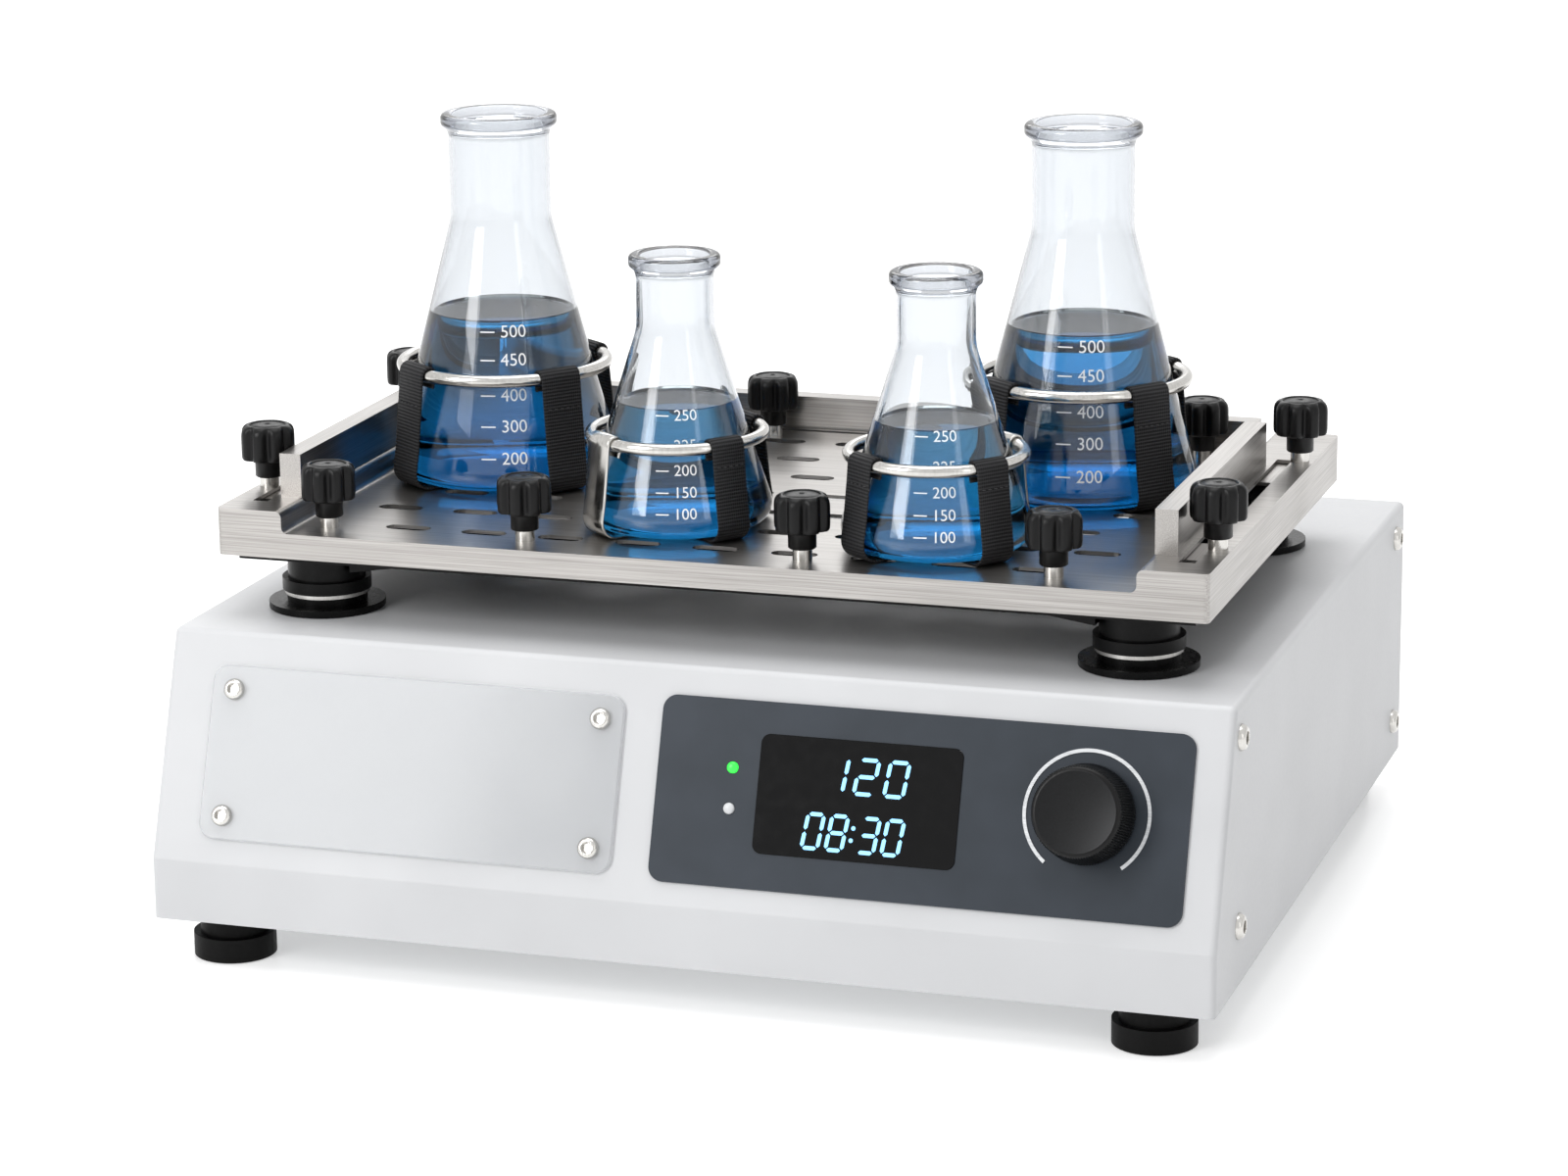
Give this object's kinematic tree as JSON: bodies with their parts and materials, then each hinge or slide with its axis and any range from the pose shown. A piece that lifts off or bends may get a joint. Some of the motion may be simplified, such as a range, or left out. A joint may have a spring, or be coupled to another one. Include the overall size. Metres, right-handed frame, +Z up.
{
  "type": "orbital shaker",
  "caption": "Bench orbital shaker: sloping-front housing, perforated clamping platform on an eccentric drive, and conical flasks held in ringed strap holders.",
  "frame": {"origin": "on the bench under the middle of the whole outline, at rest", "axes": "+Z up, the front with the controls faces -Y, +X to the right of someone facing the front"},
  "size_m": [0.486, 0.4275, 0.353],
  "materials": {
    "cover_paint": "fine powder coat",
    "chassis_steel": "plain",
    "foot_rubber": "matt",
    "bright_screws": "polished",
    "plate_clear": "frosted clear",
    "panel_slate": "satin",
    "display_black": "gloss",
    "light_pipe": "gloss",
    "dial_silver": "satin",
    "board_green": "satin",
    "black_plastic": "satin",
    "supply_case": "plain",
    "motor_black": "painted",
    "turned_steel": "turned",
    "cast_grey": "as cast",
    "pulley_aluminium": "turned",
    "black_paint": "satin",
    "seal_plastic": "satin",
    "stainless": "brushed",
    "flask_glass": "clear",
    "blue_liquid": "clear liquid",
    "strap_webbing": "ribbed webbing"
  },
  "bodies": {
    "base": {"housing_cover": "cover_paint", "chassis": "chassis_steel", "rubber_feet": "foot_rubber", "foot_bolts": "bright_screws", "side_screws": "bright_screws", "front_plate": "plate_clear", "plate_screws": "bright_screws", "control_panel": "panel_slate", "display_window": "display_black", "indicator_lights": "light_pipe", "dial_ring": "dial_silver", "control_board": "board_green", "encoder": "black_plastic", "power_entry": "black_plastic", "power_supply": "supply_case", "spindle_housing": "cast_grey", "ball_bearings": "turned_steel", "drive_belt": "foot_rubber", "drive_motor": "motor_black", "motor_bracket": "chassis_steel", "idler_pedestals": "cast_grey"},
    "spindle": {"drive_spindle": "turned_steel", "spindle_pulley": "pulley_aluminium", "counterweight": "cast_grey"},
    "platform": {"inner_carrier": "pulley_aluminium", "hub_bearing": "turned_steel", "support_posts": "black_paint", "seal_discs": "seal_plastic", "post_rings": "seal_plastic", "subframe": "black_paint", "platform_tray": "stainless", "rear_bar": "stainless", "knob_studs": "turned_steel", "flask_liquid": "blue_liquid", "holder_rings": "stainless", "holder_straps": "strap_webbing", "flask_big_left": "flask_glass", "flask_big_right": "flask_glass", "flask_small_left": "flask_glass", "flask_small_right": "flask_glass"},
    "motor_rotor": {"motor_pulley": "turned_steel"},
    "clamp_left": {"clamp_bar_left": "stainless"},
    "clamp_right": {"clamp_bar_right": "stainless"},
    "dial_shaft": {"encoder_shaft": "turned_steel"},
    "dial_knob": {"control_knob": "black_plastic"},
    "switch_rocker": {"power_rocker": "black_plastic"},
    "idler_left_front": {"idler_crank_left_front": "turned_steel"},
    "idler_left_rear": {"idler_crank_left_rear": "turned_steel"},
    "idler_right_front": {"idler_crank_right_front": "turned_steel"},
    "idler_right_rear": {"idler_crank_right_rear": "turned_steel"},
    "knob_rail_left_front": {"star_knob_rail_left_front": "black_plastic"},
    "knob_rail_left_rear": {"star_knob_rail_left_rear": "black_plastic"},
    "knob_rail_right_front": {"star_knob_rail_right_front": "black_plastic"},
    "knob_rail_right_rear": {"star_knob_rail_right_rear": "black_plastic"},
    "knob_front_1": {"star_knob_front_1": "black_plastic"},
    "knob_front_2": {"star_knob_front_2": "black_plastic"},
    "knob_front_3": {"star_knob_front_3": "black_plastic"},
    "knob_front_4": {"star_knob_front_4": "black_plastic"},
    "knob_rear_1": {"star_knob_rear_1": "black_plastic"},
    "knob_rear_2": {"star_knob_rear_2": "black_plastic"}
  },
  "joints": [
    {"name": "spindle_turn", "type": "hinge", "parent": "base", "child": "spindle", "pos_m": [0, -0.01, 0.09], "axis": [0, 0, 1], "continuous": true},
    {"name": "platform_orbit", "type": "hinge", "parent": "spindle", "child": "platform", "pos_m": [-0.00203, -0.01457, 0.12], "axis": [0, 0, 1], "continuous": true},
    {"name": "motor_turn", "type": "hinge", "parent": "base", "child": "motor_rotor", "pos_m": [-0.098, 0.045, 0.09], "axis": [0, 0, 1], "continuous": true},
    {"name": "clamp_left_slide", "type": "slide", "parent": "platform", "child": "clamp_left", "axis": [0, 1, 0], "range_m": [-0.008, 0.008]},
    {"name": "clamp_right_slide", "type": "slide", "parent": "platform", "child": "clamp_right", "axis": [0, 1, 0], "range_m": [-0.008, 0.008]},
    {"name": "dial_push", "type": "slide", "parent": "base", "child": "dial_shaft", "axis": [0, -0.9423, 0.3348], "range_m": [-0.0008, 0], "stiffness_N_per_m": 2500, "springref_m": 0.0008},
    {"name": "dial_turn", "type": "hinge", "parent": "dial_shaft", "child": "dial_knob", "pos_m": [0.181, -0.19791, 0.10054], "axis": [0, -0.9423, 0.3348], "continuous": true},
    {"name": "rocker_tilt", "type": "hinge", "parent": "base", "child": "switch_rocker", "pos_m": [-0.15, 0.2065, 0.081], "axis": [1, 0, 0], "range_deg": [-12, 0]},
    {"name": "idler_left_front_turn", "type": "hinge", "parent": "base", "child": "idler_left_front", "pos_m": [-0.1875, -0.1134, 0.09], "axis": [0, 0, 1], "continuous": true},
    {"name": "idler_left_rear_turn", "type": "hinge", "parent": "base", "child": "idler_left_rear", "pos_m": [-0.1875, 0.1066, 0.09], "axis": [0, 0, 1], "continuous": true},
    {"name": "idler_right_front_turn", "type": "hinge", "parent": "base", "child": "idler_right_front", "pos_m": [0.1875, -0.1134, 0.09], "axis": [0, 0, 1], "continuous": true},
    {"name": "idler_right_rear_turn", "type": "hinge", "parent": "base", "child": "idler_right_rear", "pos_m": [0.1875, 0.1066, 0.09], "axis": [0, 0, 1], "continuous": true},
    {"name": "knob_rail_left_front_turn", "type": "hinge", "parent": "platform", "child": "knob_rail_left_front", "pos_m": [-0.22083, -0.10707, 0.2138], "axis": [0, 0, 1], "continuous": true},
    {"name": "knob_rail_left_rear_turn", "type": "hinge", "parent": "platform", "child": "knob_rail_left_rear", "pos_m": [-0.22083, 0.06293, 0.2138], "axis": [0, 0, 1], "continuous": true},
    {"name": "knob_rail_right_front_turn", "type": "hinge", "parent": "platform", "child": "knob_rail_right_front", "pos_m": [0.21677, -0.10707, 0.2138], "axis": [0, 0, 1], "continuous": true},
    {"name": "knob_rail_right_rear_turn", "type": "hinge", "parent": "platform", "child": "knob_rail_right_rear", "pos_m": [0.21677, 0.06293, 0.2138], "axis": [0, 0, 1], "continuous": true},
    {"name": "knob_front_1_turn", "type": "hinge", "parent": "platform", "child": "knob_front_1", "pos_m": [-0.18053, -0.13307, 0.2038], "axis": [0, 0, 1], "continuous": true},
    {"name": "knob_front_2_turn", "type": "hinge", "parent": "platform", "child": "knob_front_2", "pos_m": [-0.08763, -0.13307, 0.2038], "axis": [0, 0, 1], "continuous": true},
    {"name": "knob_front_3_turn", "type": "hinge", "parent": "platform", "child": "knob_front_3", "pos_m": [0.04007, -0.13307, 0.2038], "axis": [0, 0, 1], "continuous": true},
    {"name": "knob_front_4_turn", "type": "hinge", "parent": "platform", "child": "knob_front_4", "pos_m": [0.15167, -0.13307, 0.2038], "axis": [0, 0, 1], "continuous": true},
    {"name": "knob_rear_1_turn", "type": "hinge", "parent": "platform", "child": "knob_rear_1", "pos_m": [-0.04803, 0.09803, 0.2038], "axis": [0, 0, 1], "continuous": true},
    {"name": "knob_rear_2_turn", "type": "hinge", "parent": "platform", "child": "knob_rear_2", "pos_m": [0.16297, 0.09803, 0.2038], "axis": [0, 0, 1], "continuous": true}
  ],
  "couplings": [
    {"joint": "platform_orbit", "follows": "spindle_turn", "ratio": -1},
    {"joint": "motor_turn", "follows": "spindle_turn", "ratio": 2.7778},
    {"joint": "idler_left_front_turn", "follows": "spindle_turn", "ratio": 1},
    {"joint": "idler_left_rear_turn", "follows": "spindle_turn", "ratio": 1},
    {"joint": "idler_right_front_turn", "follows": "spindle_turn", "ratio": 1},
    {"joint": "idler_right_rear_turn", "follows": "spindle_turn", "ratio": 1}
  ]
}
